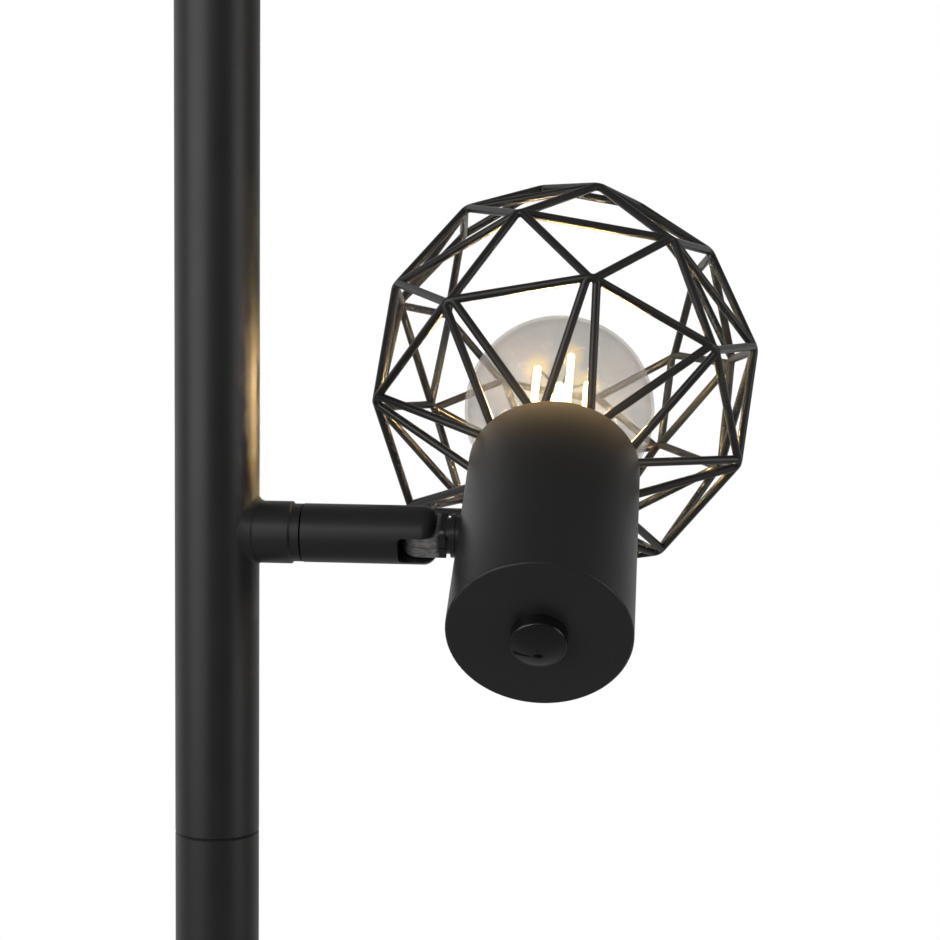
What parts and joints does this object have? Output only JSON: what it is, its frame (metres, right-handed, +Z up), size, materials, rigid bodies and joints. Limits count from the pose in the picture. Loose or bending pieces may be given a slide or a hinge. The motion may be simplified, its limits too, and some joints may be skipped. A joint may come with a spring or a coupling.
{
  "type": "wire cage floor lamp",
  "caption": "Slim black floor lamp with a round foot and a swivelling side arm whose bulb stands in an open cage of bent and welded wire.",
  "frame": {"origin": "on the floor under the pole's axis, in the middle of the round foot's underside", "axes": "+Z up along the pole, +X out along the side arm that carries the head; the bulb points to +Y, tilted up"},
  "size_m": [0.25, 0.25, 1.5016],
  "materials": {
    "black_coat": "fine satin black powder coat",
    "cage_coat": "satin black coat on wire",
    "gloss_black": "high gloss black",
    "knuckle_metal": "grey satin, bead blasted",
    "plain_steel": "turned steel, zinc plated",
    "weight_iron": "primed casting",
    "pad_rubber": "matt",
    "black_plastic": "matt",
    "holder_plastic": "thermoset, slightly glossy",
    "contact_brass": "rolled sheet",
    "cap_metal": "nickel plated, rolled thread",
    "cap_insulator": "black vitrite",
    "tip_solder": "soldered contact",
    "bulb_glass": "clear glass with a light smoke tint",
    "stem_glass": "clear",
    "driver_board": "coated board",
    "filament_phosphor": "phosphor coating, lit warm white",
    "filament_wire": "drawn wire",
    "cable_sheath": "matt"
  },
  "bodies": {
    "stand": {"floor_pad": "pad_rubber", "base_weight": "weight_iron", "base_cover": "black_coat", "cable_bushing": "black_plastic", "foot_collar": "black_coat", "foot_plug": "plain_steel", "foot_rod": "plain_steel", "foot_nut": "plain_steel", "foot_washer": "plain_steel", "pole_section_1": "black_coat", "pole_coupler_1": "plain_steel", "pole_section_2": "black_coat", "pole_coupler_2": "plain_steel", "pole_section_3": "black_coat", "pole_coupler_3": "plain_steel", "pole_top_section": "black_coat", "pole_cap": "black_coat", "arm_boss": "black_coat", "swivel_spindle": "plain_steel", "spindle_nut": "plain_steel", "swivel_washer": "black_plastic", "swivel_nut": "plain_steel", "pole_flex": "cable_sheath"},
    "arm": {"arm_tube": "black_coat", "arm_plug": "plain_steel", "stop_dowel": "plain_steel", "hinge_pin": "plain_steel", "knuckle_washers": "black_plastic", "arm_cores": "cable_sheath"},
    "head": {"swivel_tongue": "knuckle_metal", "neck_spacer": "black_coat", "neck_nut": "plain_steel", "lamp_can": "black_coat", "back_screw": "plain_steel", "back_cap": "gloss_black", "holder_bracket": "plain_steel", "bracket_screws": "plain_steel", "terminal_screws": "contact_brass", "lampholder_body": "holder_plastic", "threaded_sleeve": "contact_brass", "centre_contact": "contact_brass", "shade_ring": "holder_plastic", "bulb_glass": "bulb_glass", "bulb_cap": "cap_metal", "cap_insulator": "cap_insulator", "tip_contact": "tip_solder", "glass_stem": "stem_glass", "driver_board": "driver_board", "filaments": "filament_phosphor", "filament_wires": "filament_wire", "cage_base_ring": "cage_coat", "cage_ring_1": "cage_coat", "cage_ring_2": "cage_coat", "cage_ring_3": "cage_coat", "cage_ring_4": "cage_coat", "cage_web_1": "cage_coat", "cage_web_2": "cage_coat", "cage_web_3": "cage_coat", "cage_web_4": "cage_coat", "head_cores": "cable_sheath"}
  },
  "joints": [
    {"name": "arm_roll", "type": "hinge", "parent": "stand", "child": "arm", "pos_m": [0.0197, 0, 1.2856], "axis": [1, 0, 0], "range_deg": [-165, 165]},
    {"name": "head_swivel", "type": "hinge", "parent": "arm", "child": "head", "pos_m": [0.0467, 0, 1.2856], "axis": [0, 0.5402, -0.8415], "range_deg": [-10, 85]}
  ]
}
